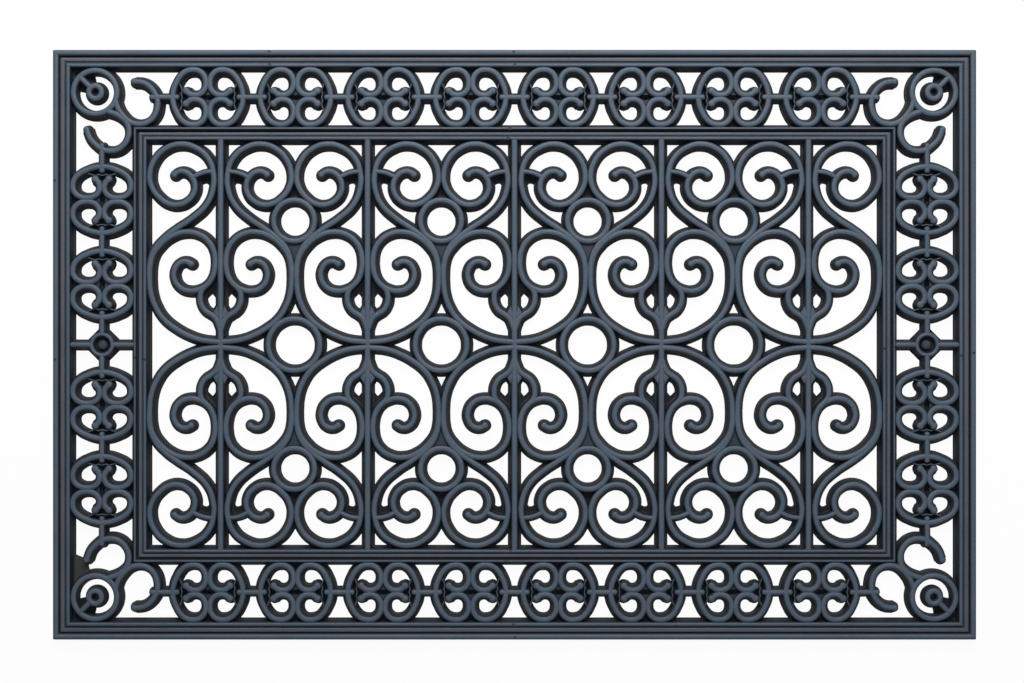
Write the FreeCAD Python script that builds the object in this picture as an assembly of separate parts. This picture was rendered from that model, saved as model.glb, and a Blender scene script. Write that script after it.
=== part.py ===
import FreeCAD, Part
import math
import os

# An openwork rubber door mat, lying flat with its pattern up. Two rectangular rails hold a border of
# four-lobed medallions and a field of five columns of scrollwork. Every member has a drafted wall, so that
# it is wide at its foot and narrow at its crest, as a moulding that leaves its tool upwards has to be.
# Lengths are in millimetres. X runs along the mat, Y across it and Z up from the floor. The origin is on
# the floor under the middle of the mat.

# The mat as a whole
mat_length = 914.0
mat_width = 584.0
mat_thickness = 9.5
column_count = 5

# The two rails and the clear border between them, all measured at the foot
outer_rail_width = 21.1
inner_rail_width = 20.1
end_border_width = 55.6
side_border_width = 52.1

# The rails' section, from the edge inwards: a bead, a groove, a flat band, a groove and a bead
edge_draft = 0.5
wall_draft = 3.2
edge_bead_width = 5.3
border_bead_width = 4.6
inner_bead_width = 3.7
rail_groove_width = 1.6
groove_depth = 2.6
band_depth = 1.3
shoulder_run = 1.1
shoulder_drop = 1.3

# The members of the pattern, across the crest and across the foot
strand_crest_width = 5.6
strand_foot_width = 12.2
stem_crest_width = 5.8
stem_foot_width = 13.4
spear_crest_width = 15.6
spur_crest_width = 4.6
spur_foot_width = 9.4

# Rings between the columns, to the middle of their crest
small_ring_radius = 20.2
centre_ring_radius = 25.5

# The border: medallions fill the length that the corners, the side bosses and the links leave them
row_medallion_count = 8
side_medallion_pairs = 2
row_link_length = 12.6
side_link_length = 13.6
hook_clearance = 6.6
boss_reach = 18.1

# Corner rings and buttons, and the bosses in the middle of the short sides
corner_ring_radius = 21.5
button_radius = 10.0
button_dimple_radius = 3.6
boss_radius = 11.6
boss_dimple_radius = 6.9
dimple_depth = 3.5
dimple_draft = 0.8

# How far a straight facet may leave the true curve, and how far cutting tools run past a face
facet_sag = 2.0
overrun = 5.0
small_ring_facets = 10
centre_ring_facets = 12
button_facets = 10
curve_steps = 400

# Paths of one quarter column, from the stem outwards and from the mat's middle line to the rail,
# as shares of half a column and of half the field
scroll_shares = [
    (0.628, 0.836), (0.565, 0.849), (0.484, 0.845), (0.389, 0.818), (0.354, 0.779), (0.382, 0.737),
    (0.457, 0.704), (0.573, 0.686), (0.716, 0.696), (0.845, 0.730), (0.941, 0.780), (0.961, 0.836),
    (0.900, 0.906), (0.763, 0.958), (0.559, 0.983), (0.341, 0.966), (0.170, 0.914), (0.098, 0.841),
    (0.104, 0.763), (0.191, 0.688), (0.395, 0.618), (0.600, 0.569), (0.763, 0.524), (0.900, 0.467),
    (0.963, 0.391), (0.965, 0.324), (0.943, 0.245), (0.881, 0.183), (0.778, 0.127), (0.608, 0.078),
    (0.438, 0.045), (0.267, 0.024), (0.000, 0.013)]
curl_shares = [
    (0.934, 0.412), (0.841, 0.464), (0.684, 0.525), (0.491, 0.552), (0.300, 0.542), (0.150, 0.500),
    (0.086, 0.441), (0.086, 0.382), (0.143, 0.321), (0.286, 0.279), (0.464, 0.270), (0.566, 0.299),
    (0.621, 0.348), (0.559, 0.395), (0.405, 0.401)]
leaf_shares = [(0.150, 0.314), (0.262, 0.262), (0.280, 0.220), (0.228, 0.178), (0.150, 0.154), (0.060, 0.143)]
spur_shares = [(0.105, 0.850), (0.388, 0.819)]
small_ring_height_share = 0.608
spear_top_share = 0.215
spear_middle_share = 0.152
spear_bottom_share = 0.10

# One quarter of a medallion, as shares of half its length and half its width: the crest's outline from
# the bow to the notch between two lobes, and the teardrop opening inside the lobe
medallion_outline_shares = [(1.00, 0.19), (0.88, 0.57), (0.60, 0.94), (0.24, 0.99)]
medallion_notch_share = 0.72
teardrop_shares = [(0.125, 0.44), (0.32, 0.17), (0.79, 0.31), (0.67, 0.74), (0.27, 0.82)]

# The two hooks of a corner, from the mat's corner inwards, as shares of the widths of both rails and the
# border together
row_hook_shares = [
    (0.644, 0.545), (0.667, 0.618), (0.711, 0.690), (0.769, 0.751), (0.834, 0.783), (0.897, 0.790),
    (0.980, 0.764), (1.044, 0.697), (1.072, 0.611), (1.072, 0.531), (1.044, 0.459), (0.993, 0.392),
    (0.923, 0.349), (0.834, 0.339)]
side_hook_shares = [
    (0.571, 0.657), (0.647, 0.684), (0.711, 0.724), (0.763, 0.783), (0.782, 0.863), (0.769, 0.943),
    (0.724, 1.017), (0.660, 1.062), (0.583, 1.075), (0.507, 1.056), (0.443, 1.009), (0.385, 0.943),
    (0.348, 0.848)]

# Places that follow from the sizes above
half_length = mat_length / 2
half_width = mat_width / 2
inner_reach_x = half_length - outer_rail_width - end_border_width
inner_reach_y = half_width - outer_rail_width - side_border_width
field_reach_x = inner_reach_x - inner_rail_width + wall_draft
field_reach_y = inner_reach_y - inner_rail_width + wall_draft
column_pitch = 2 * field_reach_x / column_count
half_pitch = column_pitch / 2
strand_crest = strand_crest_width / 2
strand_foot = strand_foot_width / 2
strand_draft = strand_foot - strand_crest
row_middle_y = half_width - outer_rail_width - side_border_width / 2
side_middle_x = half_length - outer_rail_width - end_border_width / 2
corner_span_x = outer_rail_width + end_border_width + inner_rail_width
corner_span_y = outer_rail_width + side_border_width + inner_rail_width
corner_reach_x = max(u for u, v in row_hook_shares) * corner_span_x + hook_clearance
corner_reach_y = max(v for u, v in side_hook_shares) * corner_span_y + hook_clearance
row_pitch = 2 * (half_length - corner_reach_x) / row_medallion_count
side_pitch = (half_width - corner_reach_y - boss_reach) / side_medallion_pairs
row_medallion_half = ((row_pitch - row_link_length) / 2, side_border_width / 2 + wall_draft)
side_medallion_half = (end_border_width / 2 + wall_draft, (side_pitch - side_link_length) / 2)


def at(x, y, z=0.0):
    return FreeCAD.Vector(x, y, z)


def mirror_x(shape):
    return shape.mirror(at(0, 0), FreeCAD.Vector(1, 0, 0))


def mirror_y(shape):
    return shape.mirror(at(0, 0), FreeCAD.Vector(0, 1, 0))


def moved(shape, x, y):
    copy = shape.copy()
    copy.translate(at(x, y))
    return copy


# Flat-faced solids

def outline(points, height):
    corners = [at(point.x, point.y, height) for point in points]
    return Part.makePolygon(corners + corners[:1])


def holed_face(loops, height):
    return Part.makeFace([outline(loop, height) for loop in loops], "Part::FaceMakerBullseye")


def closed_solid(faces):
    """The solid inside a closed set of flat faces, with its faces pointing outwards."""
    shell = Part.makeShell(faces)
    shell.sewShape()
    solid = Part.makeSolid(shell)
    if solid.Volume < 0:
        shell.reverse()
        solid = Part.makeSolid(shell)
    return solid


def drafted(foot_loops, crest_loops, low=0.0, high=mat_thickness):
    """A member between its foot and its crest; the first loop is its outside and the rest are its holes."""
    faces = [holed_face(foot_loops, low), holed_face(crest_loops, high)]
    for foot, crest in zip(foot_loops, crest_loops):
        for i in range(len(foot)):
            j = (i + 1) % len(foot)
            wall = [at(foot[i].x, foot[i].y, low), at(foot[j].x, foot[j].y, low),
                    at(crest[j].x, crest[j].y, high), at(crest[i].x, crest[i].y, high)]
            faces.append(Part.Face(Part.makePolygon(wall + wall[:1])))
    return closed_solid(faces)


# Lines in plan

def heading(start, end):
    way = end.sub(start)
    way.normalize()
    return way


def left_of(way):
    return FreeCAD.Vector(-way.y, way.x, 0)


def offset_line(corners, reach, closed=False):
    """The line's corners moved to its left by the reach, with mitred joints."""
    shifted = []
    last = len(corners) - 1
    for i, corner in enumerate(corners):
        sides = []
        if closed or i > 0:
            sides.append(left_of(heading(corners[i - 1], corner)))
        if closed or i < last:
            sides.append(left_of(heading(corner, corners[(i + 1) % (last + 1)])))
        mitre = sides[0].add(sides[-1])
        mitre.normalize()
        shifted.append(corner.add(mitre.multiply(reach / mitre.dot(sides[0]))))
    return shifted


def facet_line(points, sag):
    """Corners of a faceted line along the smooth curve through the points.

    A straight facet of length c leaves an arc of radius r by c * c / (8 * r). So each short step along the
    curve is counted as the share of a facet that it may fill, and the corners stand at even counts.
    """
    curve = Part.BSplineCurve()
    curve.interpolate(points)
    first = curve.FirstParameter
    last = curve.LastParameter
    places = [first + (last - first) * i / curve_steps for i in range(curve_steps + 1)]
    filled = [0.0]
    for near, far in zip(places, places[1:]):
        step = curve.value(near).distanceToPoint(curve.value(far))
        filled.append(filled[-1] + step * math.sqrt(curve.curvature((near + far) / 2) / (8 * sag)))
    count = math.ceil(filled[-1])
    corners = []
    for i in range(count + 1):
        wanted = filled[-1] * i / count
        nearest = min(range(len(filled)), key=lambda k: abs(filled[k] - wanted))
        corners.append(curve.value(places[nearest]))
    return corners


def round_end(centre, way, reach):
    """Corners of half a hexagon round a strand's last point."""
    corners = []
    for angle in (math.pi / 6, -math.pi / 6):
        along = FreeCAD.Vector(way).multiply(reach * math.cos(angle))
        across = left_of(way).multiply(reach * math.sin(angle))
        corners.append(centre.add(along).add(across))
    return corners


def strand_loop(corners, reach, round_start, round_finish):
    loop = offset_line(corners, reach)
    if round_finish:
        loop += round_end(corners[-1], heading(corners[-2], corners[-1]), reach)
    loop += reversed(offset_line(corners, -reach))
    if round_start:
        loop += round_end(corners[0], heading(corners[1], corners[0]), reach)
    return loop


def strand(corners, round_start=False, round_finish=False, crest=strand_crest, foot=strand_foot):
    """A member of even width that follows a line, with round or square ends."""
    return drafted([strand_loop(corners, foot, round_start, round_finish)],
                   [strand_loop(corners, crest, round_start, round_finish)])


def strand_in_two(corners, round_start=False):
    """A long strand that winds back beside itself, as two lengths that are fused across a facet's middle.

    Where two of its turns come closer than a foot's width, their feet grow together.
    """
    half = len(corners) // 2
    joint = corners[half - 1].add(corners[half]).multiply(0.5)
    near = strand(corners[:half] + [joint], round_start=round_start)
    far = strand([joint] + corners[half:])
    return near.fuse(far).removeSplitter()


def circle_line(x, y, radius, facets):
    step = 2 * math.pi / facets
    return [at(x + radius * math.cos(step * i), y + radius * math.sin(step * i)) for i in range(facets)]


def ring(x, y, radius, facets):
    """A ring whose crest is centred on the radius."""
    crest = [circle_line(x, y, radius + reach, facets) for reach in (strand_crest, -strand_crest)]
    foot = [circle_line(x, y, radius + reach, facets) for reach in (strand_foot, -strand_foot)]
    return drafted(foot, crest)


def button(x, y, radius, dimple_radius, arms):
    """A round boss on its arms, with a shallow dimple in its top."""
    boss = drafted([circle_line(x, y, radius + strand_draft, button_facets)],
                   [circle_line(x, y, radius, button_facets)])
    rise = dimple_draft * overrun / dimple_depth
    dimple = drafted([circle_line(x, y, dimple_radius - dimple_draft, button_facets)],
                     [circle_line(x, y, dimple_radius + rise, button_facets)],
                     mat_thickness - dimple_depth, mat_thickness + overrun)
    return boss.fuse(arms).cut(dimple).removeSplitter()


# Rails

def rail_section(width, near_draft, near_bead, far_bead):
    """Corners of a rail's section, across it and up, from its outer foot to its inner foot."""
    crest = mat_thickness
    shoulder = crest - shoulder_drop
    near = near_draft + near_bead
    far = width - wall_draft - far_bead
    groove = rail_groove_width
    return [
        (0, 0), (near_draft, shoulder), (near_draft + shoulder_run, crest), (near - shoulder_run, crest),
        (near, shoulder), (near + groove / 2, crest - groove_depth), (near + groove, crest - band_depth),
        (far - groove, crest - band_depth), (far - groove / 2, crest - groove_depth), (far, shoulder),
        (far + shoulder_run, crest), (width - wall_draft - shoulder_run, crest), (width - wall_draft, shoulder),
        (width, 0)]


def rail(section, reach_x, reach_y, along_x):
    """One mitred length of a rectangular rail, on the positive side of the mat."""
    if along_x:
        starts = [at(across - reach_x, reach_y - across, up) for across, up in section]
        ends = [at(reach_x - across, reach_y - across, up) for across, up in section]
    else:
        starts = [at(reach_x - across, across - reach_y, up) for across, up in section]
        ends = [at(reach_x - across, reach_y - across, up) for across, up in section]
    faces = [Part.Face(Part.makePolygon(starts + starts[:1])), Part.Face(Part.makePolygon(ends + ends[:1]))]
    for i in range(len(section)):
        j = (i + 1) % len(section)
        faces.append(Part.Face(Part.makePolygon([starts[i], starts[j], ends[j], ends[i], starts[i]])))
    return closed_solid(faces)


def rail_set(name, section, reach_x, reach_y):
    back = rail(section, reach_x, reach_y, True)
    right = rail(section, reach_x, reach_y, False)
    return {name + "_back": back, name + "_front": mirror_y(back),
            name + "_right": right, name + "_left": mirror_x(right)}


# The scrollwork of one quarter column, its stem on the Y axis

def field_points(shares):
    return [at(u * half_pitch, v * field_reach_y) for u, v in shares]


def make_stem():
    """The straight member from rail to rail, which swells to a spear point on each side of the middle."""
    plain = stem_crest_width / 2
    wide = spear_crest_width / 2
    right_side = [(field_reach_y, plain), (spear_top_share * field_reach_y, plain),
                  (spear_middle_share * field_reach_y, wide), (spear_bottom_share * field_reach_y, plain)]
    right_side += [(-v, reach) for v, reach in reversed(right_side)]
    crest = [at(reach, v) for v, reach in right_side] + [at(-reach, v) for v, reach in reversed(right_side)]
    foot = offset_line(crest, (stem_foot_width - stem_crest_width) / 2, closed=True)
    return drafted([foot], [crest])


def quarter_box():
    return Part.makeBox(half_pitch, field_reach_y, mat_thickness + 2 * overrun, at(0, 0, -overrun))


def make_quarter(rail_back, stem, rings):
    """The loose members of a quarter column, each cut back to the ones that it meets."""
    box = quarter_box()
    whole_scroll = strand_in_two(facet_line(field_points(scroll_shares), facet_sag), round_start=True)
    whole_curl = strand(facet_line(field_points(curl_shares), facet_sag), round_finish=True)
    scroll = whole_scroll.common(box).cut([rail_back, stem])
    curl = whole_curl.cut([stem, whole_scroll])
    leaf = strand(facet_line(field_points(leaf_shares), facet_sag)).cut([stem, whole_curl, whole_scroll])
    spur = strand(field_points(spur_shares), crest=spur_crest_width / 2, foot=spur_foot_width / 2)
    spur = spur.cut([stem, whole_scroll])
    return {"scroll_beside_rail": scroll, "scroll_beside_rings": scroll.cut(rings), "curl": curl,
            "leaf": leaf, "spur": spur}


# The border

def make_medallion(half, turned):
    """Two bows that curl into four lobes, as a plate with four teardrop openings."""
    half_x, half_y = half
    bow, lobe = (half_y, half_x) if turned else (half_x, half_y)
    quarter = [(u * bow, v * lobe) for u, v in medallion_outline_shares]
    crest = []
    foot = []
    outer = [at(x, y) for x, y in quarter] + [at(0, medallion_notch_share * lobe)]
    outer += [at(-x, y) for x, y in reversed(quarter)] + [at(-x, -y) for x, y in quarter]
    outer += [at(0, -medallion_notch_share * lobe)] + [at(x, -y) for x, y in reversed(quarter)]
    crest.append(outer)
    foot.append(offset_line(outer, -strand_draft, closed=True))
    for sign_x, sign_y in ((1, 1), (-1, 1), (-1, -1), (1, -1)):
        opening = [at(sign_x * u * bow, sign_y * v * lobe) for u, v in teardrop_shares]
        if sign_x * sign_y < 0:
            opening.reverse()
        crest.append(opening)
        foot.append(offset_line(opening, strand_draft, closed=True))
    plate = drafted(foot, crest)
    if turned:
        plate.rotate(at(0, 0), FreeCAD.Vector(0, 0, 1), 90)
    return plate


def row_link(start_x, finish_x, neighbours):
    """A straight bead along the back border, cut back to what stands at its ends."""
    return strand([at(start_x, row_middle_y), at(finish_x, row_middle_y)]).cut(neighbours)


def side_link(start_y, finish_y, neighbours):
    """A straight bead along the left border, cut back to what stands at its ends."""
    return strand([at(-side_middle_x, start_y), at(-side_middle_x, finish_y)]).cut(neighbours)


def make_corner(rails, row_medallion, side_medallion):
    """The ring, hooks, button and end links of the back left corner."""
    inset = outer_rail_width - wall_draft + strand_crest + corner_ring_radius
    ring_x = inset - half_length
    ring_y = half_width - inset
    corner_ring = ring(ring_x, ring_y, corner_ring_radius, small_ring_facets).cut(rails)

    def hook(shares):
        places = [at(u * corner_span_x - half_length, half_width - v * corner_span_y) for u, v in shares]
        return strand(facet_line(places, facet_sag), round_finish=True)

    row_hook = hook(row_hook_shares).cut([corner_ring] + rails)
    side_hook = hook(side_hook_shares).cut([corner_ring, row_hook] + rails)
    spoke_reach = corner_ring_radius * math.cos(math.pi / 4)
    spoke = strand([at(ring_x - spoke_reach, ring_y + spoke_reach), at(ring_x, ring_y)])
    knob = button(ring_x, ring_y, button_radius, button_dimple_radius, [spoke]).cut(corner_ring)
    row_link_end = row_medallion.BoundBox.XMin + strand_foot
    row_hook_side = row_hook.BoundBox.XMax - strand_foot
    side_link_end = side_medallion.BoundBox.YMax - strand_foot
    side_hook_side = side_hook.BoundBox.YMin + strand_foot
    return {
        "ornament": [corner_ring, row_hook, side_hook], "button": [knob],
        "row_link": row_link(row_hook_side, row_link_end, [row_hook, row_medallion]),
        "side_link": side_link(side_hook_side, side_link_end, [side_hook, side_medallion])}


def make_side_boss(rails, side_medallions):
    """The dimpled boss in the middle of the left border, with arms to the rails and the medallions."""
    across = strand([at(outer_rail_width - wall_draft - half_length, 0), at(wall_draft - inner_reach_x, 0)])
    along = strand([at(-side_middle_x, -boss_reach - strand_foot), at(-side_middle_x, boss_reach + strand_foot)])
    boss = button(-side_middle_x, 0, boss_radius, boss_dimple_radius, [across, along])
    return boss.cut(rails + side_medallions)


def solids_of(shapes):
    return [solid for shape in shapes for solid in shape.Solids]


def make_nodes():
    nodes = {}
    outer_section = rail_section(outer_rail_width, edge_draft, edge_bead_width, border_bead_width)
    inner_section = rail_section(inner_rail_width, wall_draft, inner_bead_width, inner_bead_width)
    outer = rail_set("outer_rail", outer_section, half_length, half_width)
    inner = rail_set("inner_rail", inner_section, inner_reach_x, inner_reach_y)
    nodes.update({name: [shape] for name, shape in {**outer, **inner}.items()})

    # The field: stems and scrolls column by column, and rings on the four lines between the columns
    stem = make_stem().cut([inner["inner_rail_back"], inner["inner_rail_front"]])
    small_ring_y = small_ring_height_share * field_reach_y
    small_ring = ring(0, small_ring_y, small_ring_radius, small_ring_facets)
    centre_ring = ring(0, 0, centre_ring_radius, centre_ring_facets)
    quarter = make_quarter(inner["inner_rail_back"], stem,
                           [moved(small_ring, half_pitch, 0), moved(centre_ring, half_pitch, 0)])
    middles = [(i - (column_count - 1) / 2) * column_pitch for i in range(column_count)]
    leaves = []
    spurs = []
    for number, middle in enumerate(middles, 1):
        right_scroll = moved(quarter["scroll_beside_rings"], middle, 0)
        left_scroll = moved(mirror_x(quarter["scroll_beside_rings"]), middle, 0)
        if number == 1:
            left_scroll = moved(mirror_x(quarter["scroll_beside_rail"]), middle, 0).cut(inner["inner_rail_left"])
        if number == column_count:
            right_scroll = moved(quarter["scroll_beside_rail"], middle, 0).cut(inner["inner_rail_right"])
        scrolls = [left_scroll, right_scroll]
        curls = [moved(shape, middle, 0) for shape in (quarter["curl"], mirror_x(quarter["curl"]))]
        leaves += [moved(shape, middle, 0) for shape in (quarter["leaf"], mirror_x(quarter["leaf"]))]
        spurs += [moved(shape, middle, 0) for shape in (quarter["spur"], mirror_x(quarter["spur"]))]
        nodes["stem_%d" % number] = [moved(stem, middle, 0)]
        nodes["scrolls_back_%d" % number] = scrolls
        nodes["scrolls_front_%d" % number] = [mirror_y(shape) for shape in scrolls]
        nodes["heart_curls_back_%d" % number] = curls
        nodes["heart_curls_front_%d" % number] = [mirror_y(shape) for shape in curls]
    nodes["leaves_back"] = leaves
    nodes["leaves_front"] = [mirror_y(shape) for shape in leaves]
    nodes["spurs_back"] = spurs
    nodes["spurs_front"] = [mirror_y(shape) for shape in spurs]
    lines_between = [middle + half_pitch for middle in middles[:-1]]
    nodes["small_rings_back"] = [moved(small_ring, x, 0) for x in lines_between]
    nodes["small_rings_front"] = [mirror_y(shape) for shape in nodes["small_rings_back"]]
    nodes["centre_rings"] = [moved(centre_ring, x, 0) for x in lines_between]

    # The border: medallions, the links between them, the corners and the bosses of the short sides
    row_rails = [outer["outer_rail_back"], inner["inner_rail_back"]]
    side_rails = [outer["outer_rail_left"], inner["inner_rail_left"]]
    row_plate = moved(make_medallion(row_medallion_half, False), 0, row_middle_y).cut(row_rails)
    side_plate = moved(make_medallion(side_medallion_half, True), -side_middle_x, 0).cut(side_rails)
    row_places = [(i - (row_medallion_count - 1) / 2) * row_pitch for i in range(row_medallion_count)]
    back_row = [moved(row_plate, x, 0) for x in row_places]
    back_links = []
    for left, right in zip(back_row, back_row[1:]):
        back_links.append(row_link(left.BoundBox.XMax - strand_foot, right.BoundBox.XMin + strand_foot,
                                   [left, right]))
    side_places = [boss_reach + side_pitch * (i + 0.5) for i in range(side_medallion_pairs)]
    left_upper = [moved(side_plate, 0, y) for y in side_places]
    left_links = []
    for near, far in zip(left_upper, left_upper[1:]):
        left_links.append(side_link(near.BoundBox.YMax - strand_foot, far.BoundBox.YMin + strand_foot,
                                    [near, far]))
    corner = make_corner(side_rails + row_rails, back_row[0], left_upper[-1])
    back_links += [corner["row_link"], mirror_x(corner["row_link"])]
    left_links.append(corner["side_link"])
    left_links += [mirror_y(shape) for shape in left_links]
    left_column = left_upper + [mirror_y(shape) for shape in left_upper]
    boss = make_side_boss(side_rails, left_column)
    for name, shapes in (("medallions", back_row), ("border_links", back_links)):
        nodes[name + "_back"] = shapes
        nodes[name + "_front"] = [mirror_y(shape) for shape in shapes]
    for name, shapes in (("medallions", left_column), ("border_links", left_links), ("side_boss", [boss])):
        nodes[name + "_left"] = shapes
        nodes[name + "_right"] = [mirror_x(shape) for shape in shapes]
    for name, shapes in (("corner_ornament", corner["ornament"]), ("corner_button", corner["button"])):
        nodes[name + "_back_left"] = shapes
        nodes[name + "_back_right"] = [mirror_x(shape) for shape in shapes]
        nodes[name + "_front_left"] = [mirror_y(shape) for shape in shapes]
        nodes[name + "_front_right"] = [mirror_x(mirror_y(shape)) for shape in shapes]
    return nodes


def main():
    os.makedirs("parts", exist_ok=True)
    nodes = make_nodes()
    for name, shapes in nodes.items():
        Part.makeCompound(solids_of(shapes)).exportStep("parts/%s.step" % name)
    print(len(nodes), "nodes,", sum(len(solids_of(shapes)) for shapes in nodes.values()), "solids")


if __name__ == "__main__":
    main()
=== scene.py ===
# %% [markdown]
# # An openwork rubber door mat
# The real mat is one compression moulding of black rubber: a sheet of rubber is pressed into a hot mould
# whose cavity was cut with round-nosed tools. That is why every member has a round bead on top, steep
# walls that lean a little so the mat leaves its mould, and a thin step of flash along its foot.
# The measured model gives the place and size of every member. It is loaded first and stays as it is.
# Finer pieces are then modelled over it, each one standing for the plain solid in the same place.

# %% Load the measured model
import math

import bpy
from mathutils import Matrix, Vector


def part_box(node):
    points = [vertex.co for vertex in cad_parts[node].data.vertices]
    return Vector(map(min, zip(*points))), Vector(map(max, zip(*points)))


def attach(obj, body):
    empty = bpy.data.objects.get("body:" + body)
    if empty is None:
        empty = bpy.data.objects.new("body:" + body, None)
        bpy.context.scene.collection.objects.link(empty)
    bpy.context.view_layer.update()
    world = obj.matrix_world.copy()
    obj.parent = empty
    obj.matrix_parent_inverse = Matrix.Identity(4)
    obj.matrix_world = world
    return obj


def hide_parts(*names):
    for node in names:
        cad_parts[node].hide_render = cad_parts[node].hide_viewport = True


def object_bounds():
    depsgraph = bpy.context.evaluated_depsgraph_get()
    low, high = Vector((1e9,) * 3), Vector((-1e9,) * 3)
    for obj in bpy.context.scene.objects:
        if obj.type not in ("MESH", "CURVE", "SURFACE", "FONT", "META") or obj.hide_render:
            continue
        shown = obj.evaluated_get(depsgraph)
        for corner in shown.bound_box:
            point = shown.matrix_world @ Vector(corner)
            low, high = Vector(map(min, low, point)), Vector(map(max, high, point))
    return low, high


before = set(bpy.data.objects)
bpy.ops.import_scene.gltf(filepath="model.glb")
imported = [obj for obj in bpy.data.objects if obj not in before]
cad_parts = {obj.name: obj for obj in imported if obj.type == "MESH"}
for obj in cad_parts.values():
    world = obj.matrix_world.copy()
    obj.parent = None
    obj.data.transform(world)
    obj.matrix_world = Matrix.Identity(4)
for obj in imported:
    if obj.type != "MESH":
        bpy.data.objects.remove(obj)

cad_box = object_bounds()
print("nodes in the measured model:", len(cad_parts))
print("its box in metres:", [round(v, 4) for v in (*cad_box[0], *cad_box[1])])

# %% [markdown]
# ## Sizes to work from
# A maker would lay the pattern out from the edge of the mat inwards, so the script does the same. The rails
# are read from the measured model, and the members between them are given as shares of the space that the
# rails leave. That keeps the fine pieces on the plain ones without any fitting by eye.

# %% Sizes read from the model
mm = 0.001
mat_height = 9.5 * mm
half_length = cad_box[1].x
half_width = cad_box[1].y
outer_rail_width = half_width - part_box("outer_rail_back")[0].y
inner_reach_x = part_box("inner_rail_right")[1].x
inner_reach_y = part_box("inner_rail_back")[1].y
inner_rail_width = inner_reach_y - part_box("inner_rail_back")[0].y
wall_draft = 3.2 * mm
column_count = 5
field_reach_x = inner_reach_x - inner_rail_width + wall_draft
field_reach_y = inner_reach_y - inner_rail_width + wall_draft
half_pitch = field_reach_x / column_count
row_middle_y = (half_width - outer_rail_width + inner_reach_y) / 2
side_middle_x = (half_length - outer_rail_width + inner_reach_x) / 2
print("half a column is %.1f mm wide" % (half_pitch / mm),
      "and half the field %.1f mm deep" % (field_reach_y / mm))

# %% [markdown]
# ## Selecting and tidying
# Blender's operators act on whatever is selected, and loading a model leaves all of it selected. So each
# step first clears the selection and then picks the one piece it means. Sweeping, spinning and mirroring
# can leave doubled points or faces that look inwards, and one tidy-up helper sets both right.

# %% Small helpers for operators
merge_distance = 0.01 * mm


def only(*pieces):
    """Selects these pieces and nothing else; the last one becomes the active piece."""
    bpy.ops.object.select_all(action="DESELECT")
    for piece in pieces:
        piece.select_set(True)
    bpy.context.view_layer.objects.active = pieces[-1]


def tidy(piece):
    """Merges doubled points and turns every face outwards."""
    only(piece)
    bpy.ops.object.mode_set(mode="EDIT")
    bpy.ops.mesh.select_all(action="SELECT")
    bpy.ops.mesh.remove_doubles(threshold=merge_distance)
    bpy.ops.mesh.normals_make_consistent(inside=False)
    bpy.ops.object.mode_set(mode="OBJECT")
    return piece


def join(name, pieces):
    """Puts several shapes into one piece."""
    only(*pieces)
    if len(pieces) > 1:
        bpy.ops.object.join()
    joined = bpy.context.view_layer.objects.active
    joined.name = joined.data.name = name
    return joined


def copy_of(piece, x=0.0, y=0.0, flip_x=False, flip_y=False, turn=0.0):
    """A copy with its own mesh, mirrored, turned and then moved, with its place kept in the mesh."""
    copy = piece.copy()
    copy.data = piece.data.copy()
    bpy.context.collection.objects.link(copy)
    copy.rotation_mode = "XYZ"
    copy.scale = (-1 if flip_x else 1, -1 if flip_y else 1, 1)
    copy.rotation_euler.z = turn
    copy.location = (x, y, 0)
    only(copy)
    bpy.ops.object.transform_apply(location=True, rotation=True, scale=True)
    if flip_x != flip_y:
        bpy.ops.object.mode_set(mode="EDIT")
        bpy.ops.mesh.select_all(action="SELECT")
        bpy.ops.mesh.normals_make_consistent(inside=False)
        bpy.ops.object.mode_set(mode="OBJECT")
    return copy


# %% [markdown]
# ## Lines and sections
# Almost every member is a section carried along a line, as the mould maker's cutter was. A curve with a
# second curve as its bevel does exactly that and keeps the section upright all the way. The line goes
# through its points with automatic handles, so it flows like a drawn scroll. Where a section has to be
# spun or extruded in mesh form instead, the same drawing helper makes its outline.

# %% Draw a line, then carry a section along it
def draw_line(name, points, closed=False, smooth=False, steps=6):
    """A flat curve through points given in metres."""
    curve = bpy.data.curves.new(name, "CURVE")
    curve.dimensions = "2D"
    curve.fill_mode = "NONE"
    curve.resolution_u = steps
    spline = curve.splines.new("BEZIER" if smooth else "POLY")
    if smooth:
        spline.bezier_points.add(len(points) - 1)
        for knot, (x, y) in zip(spline.bezier_points, points):
            knot.co = (x, y, 0)
            knot.handle_left_type = knot.handle_right_type = "AUTO"
    else:
        spline.points.add(len(points) - 1)
        for knot, (x, y) in zip(spline.points, points):
            knot.co = (x, y, 0, 1)
    spline.use_cyclic_u = closed
    line = bpy.data.objects.new(name, curve)
    bpy.context.collection.objects.link(line)
    return line


def to_mesh(line):
    only(line)
    bpy.ops.object.convert(target="MESH")
    return bpy.context.view_layer.objects.active


def carry(name, points, section, closed=False, steps=6):
    """A member: the closed section carried along a smooth line, with flat ends."""
    line = draw_line(name, points, closed, smooth=True, steps=steps)
    line.data.bevel_mode = "OBJECT"
    line.data.bevel_object = section
    line.data.use_fill_caps = not closed
    return tidy(to_mesh(line))


def spin_round(name, half_section, x, y, steps=24):
    """A round boss: half a section spun about an upright axis."""
    outline = to_mesh(draw_line(name, half_section))
    outline.rotation_euler = (math.pi / 2, 0, 0)
    outline.location = (x, y, 0)
    only(outline)
    bpy.ops.object.transform_apply(location=True, rotation=True, scale=True)
    bpy.ops.object.mode_set(mode="EDIT")
    bpy.ops.mesh.select_all(action="SELECT")
    bpy.ops.mesh.spin(steps=steps, angle=2 * math.pi, center=(x, y, 0), axis=(0, 0, 1))
    bpy.ops.object.mode_set(mode="OBJECT")
    return tidy(outline)


# %% [markdown]
# ## The bead's section
# Half a section runs from the crest down to the foot. The round bead is a half circle of about 3.3 mm, the
# wall leans out a little on its way down, and low down it flares into the ledge that the mould leaves along
# every foot. The photo shows that ledge as a thin line, a bit lighter than the wall above it. One function
# sets the reach of the bead and of the foot, because the stems are wider and the spurs narrower.

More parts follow.
